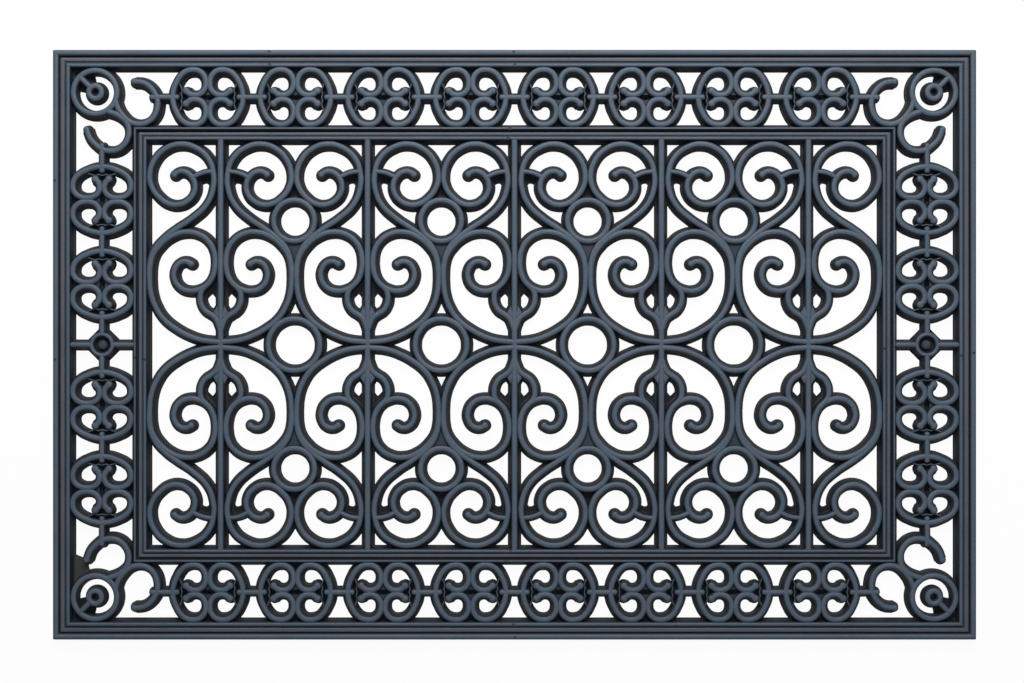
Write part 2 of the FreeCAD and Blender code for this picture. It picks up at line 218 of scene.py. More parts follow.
# %% Sections for strands of several widths
bead_half = [(0.0, 9.5), (0.9, 9.4), (1.75, 9.1), (2.5, 8.55), (3.0, 7.8), (3.28, 6.95), (3.35, 6.1)]
wall_half = [(4.0, 3.4), (4.3, 2.8), (5.3, 2.0), (5.75, 1.6), (6.0, 1.0), (6.35, 0.0)]
drawn_bead = bead_half[-1][0]
drawn_foot = wall_half[-1][0]


def half_section(bead_reach=drawn_bead, foot_reach=drawn_foot):
    """The half section in metres, for a bead and a foot that reach so many millimetres from the middle."""
    flare = (foot_reach - bead_reach) / (drawn_foot - drawn_bead)
    points = [(across * bead_reach / drawn_bead, up) for across, up in bead_half]
    points += [(bead_reach + (across - drawn_bead) * flare, up) for across, up in wall_half]
    return [(across * mm, up * mm) for across, up in points]


def full_section(name, *reaches):
    half = half_section(*reaches)
    return draw_line(name, half + [(-across, up) for across, up in reversed(half[1:])], closed=True)


strand_section = full_section("strand_section")
stem_section = full_section("stem_section", 3.45, 6.7)
spur_section = full_section("spur_section", 2.8, 4.9)
link_section = full_section("link_section", 3.15, 5.6)


def round_end(name, x, y, bead_reach=3.7, foot_reach=6.3):
    """The rounded end of a strand, a little wider than the strand itself."""
    return spin_round(name, half_section(bead_reach, foot_reach) + [(0.0, 0.0)], x, y)


print("sections drawn, with a bead %.1f mm wide on a foot of %.1f mm" % (2 * drawn_bead, 2 * drawn_foot))

# %% [markdown]
# ## The rubber
# The mat is blue-grey on everything that looks up, while the steep walls stay nearly black. That blue-grey
# is the sheen and light on the black rubber, painted into its colour: a painted sheen and light cover the
# surfaces that face up and stand high, and painted shade keeps the walls, the groove bottoms and the low
# webs near the rubber's own black. Soft blotches, specks and a fine grain break it up, much as dust does. A
# painted lighter grey marks the ledge along each foot where it faces up, and the rails' flat bands, which
# lie a little lower than the beads, get a greyer painted top colour. The tops are a little glossier where
# feet have polished them. The maths is written as plain sums on a small class that wraps a socket.

# %% A class for shader maths
class Value:
    """One output socket, on which + - and * add Math nodes."""

    def __init__(self, finish, socket):
        self.finish = finish
        self.socket = socket

    def combine(self, operation, first, second):
        return self.finish.node("ShaderNodeMath", {"operation": operation}, {0: first, 1: second})

    def __add__(self, other):
        return self.combine("ADD", self, other)

    def __radd__(self, other):
        return self.combine("ADD", other, self)

    def __sub__(self, other):
        return self.combine("SUBTRACT", self, other)

    def __rsub__(self, other):
        return self.combine("SUBTRACT", other, self)

    def __mul__(self, other):
        return self.combine("MULTIPLY", self, other)

    def __rmul__(self, other):
        return self.combine("MULTIPLY", other, self)


class Finish:
    """A material under construction."""

    def __init__(self, name):
        self.material = bpy.data.materials.new(name)
        self.material.use_nodes = True
        self.nodes = self.material.node_tree.nodes
        self.links = self.material.node_tree.links
        self.nodes.clear()

    def node(self, kind, settings=None, inputs=None, output=0):
        """Adds a node with its settings and the values or links of its sockets; gives one output."""
        made = self.nodes.new(kind)
        for name, value in (settings or {}).items():
            setattr(made, name, value)
        for name, value in (inputs or {}).items():
            if isinstance(value, Value):
                self.links.new(value.socket, made.inputs[name])
            else:
                made.inputs[name].default_value = value
        if made.outputs:
            return Value(self, made.outputs[output])

    def smooth_step(self, value, low, high):
        """0 below low, 1 above high, and a soft rise between them."""
        return self.node("ShaderNodeMapRange", {"interpolation_type": "SMOOTHSTEP"},
                         {"Value": value, "From Min": low, "From Max": high, "To Min": 0.0, "To Max": 1.0})

    def mix_colour(self, share, first, second):
        return self.node("ShaderNodeMix", {"data_type": "RGBA"}, {0: share, 6: first, 7: second}, output=2)


# %% Mix the rubber
# raw is the rubber's own near-black, left on the walls and in low places. ledge is a painted lighter grey
# for the foot ledge where it faces up. blue and mauve are the painted sheen and light on the tops, and band
# is the painted top colour of the rails' flat bands.
raw = (0.0040, 0.0066, 0.0120, 1)
ledge = (0.036, 0.037, 0.040, 1)
blue = (0.060, 0.091, 0.126, 1)
mauve = (0.074, 0.091, 0.122, 1)
band = (0.084, 0.084, 0.102, 1)


def make_rubber():
    finish = Finish("moulded_rubber")

    def between(value, low, lower, upper, high):
        """1 from lower to upper, falling to 0 at low and high."""
        return finish.smooth_step(value, low, lower) - finish.smooth_step(value, upper, high)

    place = finish.node("ShaderNodeTexCoord", output=3)
    split = finish.nodes.new("ShaderNodeSeparateXYZ")
    finish.links.new(place.socket, split.inputs[0])
    height = Value(finish, split.outputs[2])
    facing = finish.nodes.new("ShaderNodeSeparateXYZ")
    finish.links.new(finish.node("ShaderNodeNewGeometry", output=1).socket, facing.inputs[0])
    upward = Value(finish, facing.outputs[2])

    blotch = finish.node("ShaderNodeTexNoise", inputs={"Vector": place, "Scale": 28.0, "Detail": 3.0,
                                                        "Roughness": 0.55})
    speck = finish.node("ShaderNodeTexNoise", inputs={"Vector": place, "Scale": 420.0, "Detail": 2.0})
    grain = finish.node("ShaderNodeTexNoise", inputs={"Vector": place, "Scale": 900.0, "Detail": 4.0,
                                                       "Roughness": 0.6})
    tint = finish.node("ShaderNodeTexNoise", inputs={"Vector": place, "Scale": 70.0, "Detail": 2.0})

    # Painted light by slope and height: surfaces that face up get the painted sheen, and low surfaces and
    # groove bottoms get painted shade.
    tops = finish.smooth_step(upward, 0.40, 1.0)
    lit_by_height = finish.smooth_step(height, 4.8 * mm, 8.7 * mm)
    # A painted lighter line along the up-facing foot ledge.
    ledge_light_place = between(height, 1.25 * mm, 1.8 * mm, 2.9 * mm, 4.6 * mm)
    # The painted sheen and light, broken up by blotches and specks much like dust.
    sheen_and_dust = tops * lit_by_height * (0.58 + 0.48 * blotch + 0.34 * speck)
    # The flat bands of the rails get a greyer painted top colour in place of the painted sheen.
    band_place = between(height, 7.9 * mm, 8.1 * mm, 8.2 * mm, 8.5 * mm)
    level = finish.smooth_step(upward, 0.90, 0.99)
    # The colour of the painted sheen, wandering between blue and mauve.
    sheen_colour = finish.mix_colour(finish.smooth_step(tint, 0.36, 0.66), blue, mauve)
    sheen_colour = finish.mix_colour(band_place * level, sheen_colour, band)
    colour = finish.mix_colour(sheen_and_dust, finish.mix_colour(ledge_light_place * tops, raw, ledge), sheen_colour)
    roughness = 0.80 - 0.26 * sheen_and_dust + 0.16 * (grain - 0.5) + 0.10 * (blotch - 0.5)
    bump = finish.node("ShaderNodeBump", inputs={"Height": grain * 0.7 + tint * 0.3, "Strength": 0.25,
                                                 "Distance": 0.12 * mm})
    shader = finish.node("ShaderNodeBsdfPrincipled",
                         inputs={"Base Color": colour, "Roughness": roughness, "Normal": bump,
                                 "Specular IOR Level": 0.34, "IOR": 1.5})
    finish.node("ShaderNodeOutputMaterial", inputs={"Surface": shader})
    return finish.material


rubber = make_rubber()
print("rubber mixed from", len(rubber.node_tree.nodes), "nodes")

# %% [markdown]
# ## Finishing a piece
# Each finished piece gets soft shading with crisp edges, the rubber and its place on the mat's body, and
# the plain solids that it stands for are hidden.

# %% Finish and declare a piece
made = []


def soften(piece, degrees=38):
    only(piece)
    bpy.ops.object.shade_smooth_by_angle(angle=math.radians(degrees))
    return piece


def declare(piece, *nodes):
    piece.data.materials.clear()
    piece.data.materials.append(rubber)
    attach(piece, "root")
    if nodes:
        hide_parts(*nodes)
    made.append(piece)
    return piece


# %% [markdown]
# ## The rails
# Each rail is a stepped moulding: a round bead along the edge, a dark groove, a flat band, a hair-thin
# groove and a second bead. Its section is filled as one face, extruded along the rail and cut at both ends
# by a plane at 45 degrees, as a mitre saw would. A second, smaller cut takes the sharp tip off the corner.
# The bead is drawn with enough points to read as round.

# %% Rail sections
outer_rail_section = [
    (0.0, 0.0), (0.1, 6.2), (0.25, 7.2), (0.65, 8.1), (1.3, 8.85), (2.15, 9.33), (3.1, 9.5), (4.1, 9.36),
    (5.0, 8.95), (5.75, 8.3), (6.3, 7.4), (6.6, 6.5), (6.95, 6.0), (7.4, 5.9), (7.75, 6.1), (7.95, 7.5),
    (8.15, 8.0), (8.5, 8.15), (10.9, 8.15), (11.4, 8.0), (11.8, 7.7), (12.15, 7.25), (12.45, 7.0),
    (12.7, 7.1), (12.95, 7.6), (13.3, 8.2), (13.9, 8.8), (14.7, 9.32), (15.55, 9.5), (16.4, 9.32),
    (17.1, 8.8), (17.6, 8.0), (17.85, 7.1), (17.9, 6.3), (18.85, 3.4), (19.2, 2.8), (20.1, 2.0),
    (20.5, 1.6), (20.75, 1.0), (21.1, 0.0)]
inner_rail_section = [
    (0.0, 0.0), (0.35, 1.0), (0.6, 1.6), (1.0, 2.0), (1.9, 2.8), (2.25, 3.4), (3.2, 6.3), (3.25, 7.1),
    (3.4, 8.0), (3.75, 8.8), (4.3, 9.32), (4.95, 9.5), (5.6, 9.32), (6.1, 8.8), (6.5, 8.0), (6.8, 6.9),
    (7.15, 6.0), (7.8, 5.7), (8.45, 5.9), (8.7, 7.3), (8.9, 8.0), (9.2, 8.15), (10.7, 8.15), (11.2, 8.05),
    (11.55, 7.8), (11.85, 7.45), (12.1, 7.25), (12.35, 7.35), (12.6, 7.75), (12.95, 8.3), (13.45, 8.9),
    (14.05, 9.35), (14.7, 9.5), (15.4, 9.32), (16.05, 8.8), (16.55, 8.0), (16.85, 7.1), (16.9, 6.3),
    (17.85, 3.4), (18.2, 2.8), (19.1, 2.0), (19.5, 1.6), (19.75, 1.0), (20.1, 0.0)]


# %% Cut a mitred rail
corner_cut = 1.6 * mm
rail_crease = 30


def make_rail(name, section, reach_x, reach_y):
    """The back length of a rectangular rail whose outside is reach_x by reach_y from the middle."""
    rail = to_mesh(draw_line(name, [(-across * mm, up * mm) for across, up in section], closed=True))
    rail.rotation_euler = (math.pi / 2, 0, math.pi / 2)
    rail.location = (-reach_x, reach_y, 0)
    only(rail)
    bpy.ops.object.transform_apply(location=True, rotation=True, scale=True)
    bpy.ops.object.mode_set(mode="EDIT")
    bpy.ops.mesh.select_all(action="SELECT")
    bpy.ops.mesh.edge_face_add()
    bpy.ops.mesh.extrude_region_move(TRANSFORM_OT_translate={"value": (2 * reach_x, 0, 0)})
    for side in (1, -1):
        for inwards, slope in ((0.0, -1), (corner_cut, 1)):
            bpy.ops.mesh.select_all(action="SELECT")
            bpy.ops.mesh.bisect(plane_co=(side * (reach_x - inwards), reach_y, 0), plane_no=(side, slope, 0),
                                use_fill=True, clear_outer=True)
    bpy.ops.object.mode_set(mode="OBJECT")
    return soften(tidy(rail), rail_crease)


for kind, section, reach_x, reach_y in (("outer_rail", outer_rail_section, half_length, half_width),
                                        ("inner_rail", inner_rail_section, inner_reach_x, inner_reach_y)):
    back = make_rail(kind + "_bead_back", section, reach_x, reach_y)
    front = copy_of(back, flip_y=True)
    front.name = kind + "_bead_front"
    turned = make_rail(kind + "_bead_turned", section, reach_y, reach_x)
    right = copy_of(turned, turn=-math.pi / 2)
    right.name = kind + "_bead_right"
    left = copy_of(right, flip_x=True)
    left.name = kind + "_bead_left"
    bpy.data.objects.remove(turned)
    for side, piece in (("back", back), ("front", front), ("right", right), ("left", left)):
        declare(piece, kind + "_" + side)
print("rails made:", len(made))

# %% [markdown]
# ## Vent marks
# Near the middle of each rail the photo shows small pits on the beads, where the mould was vented. They are
# dug out with a Boolean modifier and a handful of small balls, as no operator pushes a round hole into a
# bead so simply. Before that a cut is made across the rail on both sides of each mark, because a hole in a
# face as long as the mat would spoil the soft shading along all of it. A Boolean needs closed meshes, and
# it is unsure where two of them only touch along a line, so the balls' middles lie a little under the crest.

# %% Dig the vent marks
cut_distance = 2.5
ball_radius = 1.35 * mm
ball_height = 9.42 * mm
vent_marks = {
    "outer_rail_bead_back": [(-0.8, 289.3), (0.5, 276.8), (-242.3, 289.4), (-241.8, 276.8)],
    "outer_rail_bead_front": [(-1.1, -276.6), (0.5, -289.3)],
    "outer_rail_bead_left": [(-454.2, 162.0), (-454.0, -14.6)],
    "outer_rail_bead_right": [(441.4, -11.2), (453.8, -8.3)],
    "inner_rail_bead_back": [(-6.4, 203.8), (-4.6, 213.5)],
    "inner_rail_bead_front": [(-8.0, -213.3), (-4.1, -203.8)],
    "inner_rail_bead_left": [(-375.2, -13.0), (-365.6, -14.9)],
    "inner_rail_bead_right": [(365.3, -4.3), (374.6, -3.3)]}
for name, places in vent_marks.items():
    rail = bpy.data.objects[name]
    along_x = name.endswith(("back", "front"))
    only(rail)
    bpy.ops.object.mode_set(mode="EDIT")
    for x, y in places:
        for step in (-cut_distance, cut_distance):
            bpy.ops.mesh.select_all(action="SELECT")
            bpy.ops.mesh.bisect(plane_co=((x + step) * mm, (y + step) * mm, 0),
                                plane_no=(1, 0, 0) if along_x else (0, 1, 0))
    bpy.ops.object.mode_set(mode="OBJECT")
    balls = []
    for x, y in places:
        bpy.ops.object.select_all(action="DESELECT")
        bpy.ops.mesh.primitive_uv_sphere_add(segments=14, ring_count=8, radius=ball_radius,
                                             location=(x * mm, y * mm, ball_height))
        balls.append(bpy.context.view_layer.objects.active)
    balls = join("balls", balls)
    dig = rail.modifiers.new("dig", "BOOLEAN")
    dig.operation = "DIFFERENCE"
    dig.object = balls
    only(rail)
    bpy.ops.object.modifier_apply(modifier="dig")
    bpy.data.objects.remove(balls)
    soften(rail, rail_crease)
    print(name, len(rail.data.polygons), "faces")

# %% [markdown]
# ## The stems
# A stem is a straight bead from rail to rail. On each side of the middle it swells to a spear point where
# the two leaves meet it. The stem is the wide section carried along a straight line, and the spear point is
# a kite-shaped plate whose top is poked to a ridge, so that two faces slope away from the stem.

# %% Stems with their spear points
web_top = 1.2


def plate(name, corners, top):
    """A low flat plate with a level top, given by its corners in millimetres."""
    sheet = to_mesh(draw_line(name, [(x * mm, y * mm) for x, y in corners], closed=True))
    only(sheet)
    bpy.ops.object.mode_set(mode="EDIT")
    bpy.ops.mesh.select_all(action="SELECT")
    bpy.ops.mesh.edge_face_add()
    bpy.ops.mesh.extrude_region_move(TRANSFORM_OT_translate={"value": (0, 0, top * mm)})
    bpy.ops.object.mode_set(mode="OBJECT")
    return tidy(sheet)


def spear_point(name):
    """The kite behind the leaves' ends, its ridge in line with the stem."""
    kite = plate(name, [(0, 50.0), (-11.6, 31.4), (-6.2, 17.0), (6.2, 17.0), (11.6, 31.4)], web_top)
    bpy.ops.object.mode_set(mode="EDIT")
    bpy.ops.mesh.select_mode(type="FACE")
    bpy.ops.mesh.select_all(action="DESELECT")
    bpy.ops.object.mode_set(mode="OBJECT")
    for face in kite.data.polygons:
        face.select = face.center.z > (web_top - 0.1) * mm
    bpy.ops.object.mode_set(mode="EDIT")
    bpy.ops.mesh.inset(thickness=1.0 * mm, depth=0.8 * mm)
    bpy.ops.mesh.inset(thickness=2.2 * mm, depth=5.5 * mm)
    bpy.ops.mesh.poke(offset=1.9 * mm)
    bpy.ops.mesh.select_mode(type="VERT")
    bpy.ops.object.mode_set(mode="OBJECT")
    return tidy(kite)


stem_line = [(0, y * field_reach_y) for y in (-1.005, -0.6, -0.2, 0.2, 0.6, 1.005)]
spear = spear_point("spear")
stem = join("stem_master", [
    carry("stem_bar", stem_line, stem_section, steps=2), copy_of(spear, flip_y=True), spear])
print("stem faces:", len(stem.data.polygons))

# %% [markdown]
# ## The scrollwork of one quarter column
# Four members fill a quarter of a column: the long S-scroll, the heart curl inside its big loop, the leaf
# under the curl, and the short spur that ties the small loop to its own end. The mould repeats this quarter
# twenty times, mirrored both ways, so it is modelled once. Points are shares of half a column and of half
# the field, read along the middle of each bead.

# %% Paths of the quarter column
scroll_shares = [
    (0.630, 0.834), (0.570, 0.848), (0.490, 0.848), (0.402, 0.827), (0.350, 0.785), (0.368, 0.741),
    (0.450, 0.705), (0.573, 0.686), (0.706, 0.691), (0.838, 0.723), (0.931, 0.769), (0.963, 0.834),
    (0.900, 0.906), (0.763, 0.958), (0.559, 0.983), (0.341, 0.966), (0.170, 0.914), (0.098, 0.841),
    (0.104, 0.763), (0.191, 0.688), (0.395, 0.618), (0.600, 0.569), (0.763, 0.524), (0.900, 0.467),
    (0.963, 0.391), (0.965, 0.324), (0.943, 0.245), (0.881, 0.183), (0.778, 0.127), (0.608, 0.078),
    (0.438, 0.045), (0.267, 0.024), (0.000, 0.013)]
curl_shares = [
    (0.965, 0.330), (0.958, 0.385), (0.923, 0.436), (0.851, 0.477), (0.690, 0.528), (0.491, 0.552),
    (0.300, 0.542), (0.155, 0.503), (0.098, 0.465), (0.075, 0.420), (0.079, 0.375), (0.110, 0.333),
    (0.176, 0.297), (0.285, 0.272), (0.430, 0.264), (0.560, 0.283), (0.634, 0.329), (0.622, 0.373),
    (0.555, 0.402), (0.470, 0.408), (0.402, 0.396)]
leaf_shares = [
    (0.190, 0.293), (0.260, 0.264), (0.277, 0.228), (0.257, 0.193), (0.203, 0.165), (0.138, 0.150),
    (0.070, 0.130), (0.034, 0.104), (0.000, 0.068)]
spur_shares = [(0.105, 0.850), (0.246, 0.842), (0.388, 0.819)]


def field_points(shares):
    return [(u * half_pitch, v * field_reach_y) for u, v in shares]


# %% Model the quarter once
scroll_line = field_points(scroll_shares)
scroll = soften(join("scroll_master", [carry("scroll_bar", scroll_line, strand_section),
                                       round_end("scroll_end", *scroll_line[0], 4.0, 6.4)]))
curl_line = field_points(curl_shares)
curl = soften(join("curl_master", [carry("curl_bar", curl_line, strand_section),
                                   round_end("curl_end", *curl_line[-1], 4.0, 6.3)]))
leaf = soften(carry("leaf_master", field_points(leaf_shares), strand_section))
spur = soften(carry("spur_master", field_points(spur_shares), spur_section, steps=4))
soften(stem)
for piece in (scroll, curl, leaf, spur):
    print(piece.name, len(piece.data.polygons), "faces")

# %% [markdown]
# ## Rings
# A ring stands between each two columns wherever their scrolls leave a round space: a small one in each
# half and a larger one in the middle. A ring is the strand's section carried round a closed line.

# %% Ring masters
small_ring_radius = 20.2 * mm
centre_ring_radius = 25.5 * mm
small_ring_y = 0.608 * field_reach_y


def make_ring(name, x, y, radius):
    around = [(x + radius * math.cos(math.pi * i / 6), y + radius * math.sin(math.pi * i / 6))
              for i in range(12)]
    return soften(carry(name, around, strand_section, closed=True))


small_ring = make_ring("small_ring_master", 0, small_ring_y, small_ring_radius)
centre_ring = make_ring("centre_ring_master", 0, 0, centre_ring_radius)
print("rings:", len(small_ring.data.polygons), "and", len(centre_ring.data.polygons), "faces")

# %% [markdown]
# ## Set the field out
# Copies of the quarter go to the five columns, mirrored about each stem and about the mat's middle line.
# Everything that one measured node holds becomes one piece, so that the two models keep the same parts.

# %% Copy the members to their columns
middles = [(i - (column_count - 1) / 2) * 2 * half_pitch for i in range(column_count)]
leaves = {"back": [], "front": []}
spurs = {"back": [], "front": []}
for number, middle in enumerate(middles, 1):
    declare(join("stem_bead_%d" % number, [copy_of(stem, x=middle)]), "stem_%d" % number)
    for side, flip_y in (("back", False), ("front", True)):
        def pair(master):
            return [copy_of(master, x=middle, flip_x=flip_x, flip_y=flip_y) for flip_x in (True, False)]

        end = "_%s_%d" % (side, number)
        for kind, node, master in (("scroll_beads", "scrolls", scroll), ("curl_beads", "heart_curls", curl)):
            declare(join(kind + end, pair(master)), node + end)
        leaves[side] += pair(leaf)
        spurs[side] += pair(spur)
lines_between = [middle + half_pitch for middle in middles[:-1]]
for side, flip_y in (("back", False), ("front", True)):
    declare(join("leaf_beads_" + side, leaves[side]), "leaves_" + side)
    declare(join("spur_beads_" + side, spurs[side]), "spurs_" + side)
    rings = [copy_of(small_ring, x=x, flip_y=flip_y) for x in lines_between]
    declare(join("small_ring_beads_" + side, rings), "small_rings_" + side)
declare(join("centre_ring_beads", [copy_of(centre_ring, x=x) for x in lines_between]), "centre_rings")
print("pieces so far:", len(made))

# %% [markdown]
# ## Border medallions
# A medallion is two C-shaped bows, back to back. Each bow curls in at both ends, so the four ends make four
# lobes with a teardrop opening in each. A low web fills the middle, the two notches by the rails, and the
# space between the curled ends and the bow, where a small wavy ridge stands up from it. One half bow is
# given as shares of half the medallion's length and half its width, from its side to its curled end.

# %% Sizes of the border
corner_span_x = half_length - inner_reach_x + inner_rail_width
corner_span_y = half_width - inner_reach_y + inner_rail_width
hook_share_x = 1.072
hook_share_y = 1.075
hook_gap = 6.6 * mm
corner_reach_x = hook_share_x * corner_span_x + hook_gap
corner_reach_y = hook_share_y * corner_span_y + hook_gap
boss_reach = 18.1 * mm
row_gap = 12.6 * mm
side_gap = 13.6 * mm
row_count = 8
row_pitch = 2 * (half_length - corner_reach_x) / row_count
side_pitch = (half_width - corner_reach_y - boss_reach) / 2
row_half = ((row_pitch - row_gap) / 2, (inner_reach_y - half_width + outer_rail_width) / -2 + wall_draft)
side_half = ((side_pitch - side_gap) / 2, (inner_reach_x - half_length + outer_rail_width) / -2 + wall_draft)
row_places = [(i - (row_count - 1) / 2) * row_pitch for i in range(row_count)]
side_places = [boss_reach + side_pitch * (i + 0.5) for i in range(2)]
print("medallions %.1f mm long in the rows" % (2 * row_half[0] / mm),
      "and %.1f mm at the sides" % (2 * side_half[0] / mm))

# %% Model a medallion
bow_shares = [
    (0.938, 0.000), (0.914, 0.255), (0.844, 0.482), (0.736, 0.716), (0.596, 0.868), (0.398, 0.928),
    (0.234, 0.888), (0.100, 0.724), (0.053, 0.475), (0.092, 0.264), (0.192, 0.128), (0.345, 0.072),
    (0.475, 0.106), (0.584, 0.216)]
tail_web = [(34.0, 10.0), (29.5, 9.4), (25.0, 8.8), (21.0, 6.0), (16.5, 3.0), (16.5, -3.0), (21.0, -6.0),
            (25.0, -8.8), (29.5, -9.4), (34.0, -10.0)]
notch_web = [(0.0, 15.0), (7.5, 30.0), (-7.5, 30.0)]
middle_web = [(0.0, 9.5), (-10.5, 0.0), (0.0, -9.5), (10.5, 0.0)]
middle_lip = [(0.0, 9.5), (-3.4, 2.6), (3.4, 2.6)]
ridge_half = [(28.4, 13.6), (27.5, 11.4), (26.4, 8.8), (25.9, 6.2), (26.9, 3.6), (26.2, 1.2)]
ridge_line = ridge_half + [(x, -y) for x, y in reversed(ridge_half)]
ridge_section = draw_line("ridge_section", [(x * mm, z * mm) for x, z in (
    (0.0, 7.4), (-0.55, 7.2), (-0.9, 6.6), (-1.3, 0.5), (1.3, 0.5), (0.9, 6.6), (0.55, 7.2))], closed=True)


drawn_half = (37.4 * mm, 29.7 * mm)


def make_medallion(name, half):
    """A medallion with its length along X, centred on the origin; its webs and ridges were drawn on a
    medallion of the size drawn_half."""
    scale_x = half[0] / drawn_half[0]
    scale_y = half[1] / drawn_half[1]

    def web(kind, corners, top, side=1):
        return plate(kind, [(side * x * scale_x, y * scale_y) for x, y in corners], top)

    parts = [web("middle_web", middle_web, web_top), web("notch_back", notch_web, web_top),
             web("notch_front", [(x, -y) for x, y in notch_web], web_top)]
    # Two small raised lips on the middle web stand high enough for the rubber's painted light by height, and
    # show as lit patches there.
    parts += [web("middle_lip", [(x, side * y) for x, y in middle_lip], 6.3) for side in (1, -1)]
    for side in (1, -1):
        half_bow = [(side * u * half[0], v * half[1]) for u, v in bow_shares]
        bow = list(reversed(half_bow)) + [(x, -y) for x, y in half_bow[1:]]
        parts.append(carry("bow", bow, strand_section))
        for place, reach in ((bow[0], 4.2), (bow[1], 3.7), (bow[-2], 3.7), (bow[-1], 4.2)):
            parts.append(round_end("bow_end", *place, reach, 5.8))
        parts.append(web("tail_web", tail_web, 1.6, side))
        ridge = [(side * x * scale_x * mm, y * scale_y * mm) for x, y in ridge_line]
        parts.append(carry("ridge", ridge, ridge_section, steps=4))
    return soften(join(name, parts))


row_medallion = make_medallion("row_medallion_master", row_half)
side_medallion = make_medallion("side_medallion_master", side_half)
back_row = [copy_of(row_medallion, x=x, y=row_middle_y) for x in row_places]
left_column = [copy_of(side_medallion, x=-side_middle_x, y=y, turn=math.pi / 2)
               for y in [-y for y in side_places] + side_places]
medallions = {"back": join("medallion_beads_back", back_row),
              "left": join("medallion_beads_left", left_column)}
medallions["front"] = copy_of(medallions["back"], flip_y=True)
medallions["right"] = copy_of(medallions["left"], flip_x=True)
for side, piece in medallions.items():
    piece.name = "medallion_beads_" + side
    declare(piece, "medallions_" + side)
print("one medallion has", len(row_medallion.data.polygons), "faces")

# %% [markdown]
# ## Links
# Short straight beads tie the medallions to each other and to the corners. Each runs on over the bow it
# meets and stops with a round end just inside it, so the two beads cross.

# %% Links between the medallions
link_overlap = 3.6 * mm
hook_overlap = 5.3 * mm
bow_share = 0.93
hook_end_x = half_length - hook_share_x * corner_span_x + hook_overlap
hook_end_y = half_width - hook_share_y * corner_span_y + hook_overlap


def make_link(name, start, finish):
    middle = ((start[0] + finish[0]) / 2, (start[1] + finish[1]) / 2)
    bar = carry(name, [start, middle, finish], link_section, steps=2)
    return soften(join(name, [bar, round_end("link_end", *start, 3.3, 4.7),
                              round_end("link_foot", *finish, 3.3, 4.7)]))


row_bow = bow_share * row_half[0]
side_bow = bow_share * side_half[0]
row_links = []
for left, right in zip(row_places, row_places[1:]):
    row_links.append(make_link("row_link", (left + row_bow - link_overlap, row_middle_y),
                               (right - row_bow + link_overlap, row_middle_y)))
last_row = row_places[-1] + row_bow - link_overlap
row_links.append(make_link("row_end_link", (last_row, row_middle_y), (hook_end_x, row_middle_y)))
row_links.append(make_link("row_end_link", (-hook_end_x, row_middle_y), (-last_row, row_middle_y)))
side_links = []
for sign in (1, -1):
    near = side_places[0] + side_bow - link_overlap
    far = side_places[1] - side_bow + link_overlap
    last = side_places[1] + side_bow - link_overlap
    side_links.append(make_link("side_link", (-side_middle_x, sign * near), (-side_middle_x, sign * far)))
    side_links.append(make_link("side_end_link", (-side_middle_x, sign * last),
                                (-side_middle_x, sign * hook_end_y)))
links = {"back": join("link_beads_back", row_links), "left": join("link_beads_left", side_links)}
links["front"] = copy_of(links["back"], flip_y=True)
links["right"] = copy_of(links["left"], flip_x=True)
for side, piece in links.items():
    piece.name = "link_beads_" + side
    declare(piece, "border_links_" + side)
print("links in a row:", len(row_links), "and at a side:", len(side_links))

# %% [markdown]
# ## Side bosses
# In the middle of each short side a round boss with a dished top stands on a cross of four arms. The boss
# is its half section spun about an upright axis, dish and all.

# %% Side bosses
side_boss_section = [
    (0.0, 6.6), (2.6, 6.5), (4.3, 6.1), (5.2, 5.3), (5.8, 4.1), (6.3, 3.4), (6.9, 3.7), (7.3, 5.0),
    (7.7, 6.8), (8.3, 8.2), (9.1, 9.1), (10.1, 9.5), (11.1, 9.35), (11.9, 8.85), (12.5, 7.9), (12.75, 6.8),
    (13.2, 3.4), (13.4, 2.8), (14.1, 2.0), (14.4, 1.6), (14.6, 1.0), (14.8, 0.0), (0.0, 0.0)]
boss_web = [(0.0, 21.0), (-21.0, 0.0), (0.0, -21.0), (21.0, 0.0)]
boss = spin_round("boss", [(x * mm, z * mm) for x, z in side_boss_section], -side_middle_x, 0, steps=36)
arm_start = 13 * mm
arm_overlap = 1.5 * mm
arm_reach_y = side_places[0] - side_bow + link_overlap
arms = []
for start, finish in (((-half_length + outer_rail_width - arm_overlap, 0), (-side_middle_x - arm_start, 0)),
                      ((-side_middle_x + arm_start, 0), (-inner_reach_x + arm_overlap, 0)),
                      ((-side_middle_x, arm_start), (-side_middle_x, arm_reach_y)),
                      ((-side_middle_x, -arm_reach_y), (-side_middle_x, -arm_start))):
    arms.append(make_link("boss_arm", start, finish))
arms.append(plate("boss_web", [(x - side_middle_x / mm, y) for x, y in boss_web], web_top))
left_boss = soften(join("side_boss_bead_left", [boss] + arms))
right_boss = copy_of(left_boss, flip_x=True)
right_boss.name = "side_boss_bead_right"
declare(left_boss, "side_boss_left")
declare(right_boss, "side_boss_right")
print("a side boss has", len(left_boss.data.polygons), "faces")

# %% [markdown]
# ## Corners
# A ring nests in the corner of the outer rail. Two hooks leave it and swing round to the first medallion of
# the row and of the side. Inside the ring a button with a deep pit hangs on one spoke from the corner.

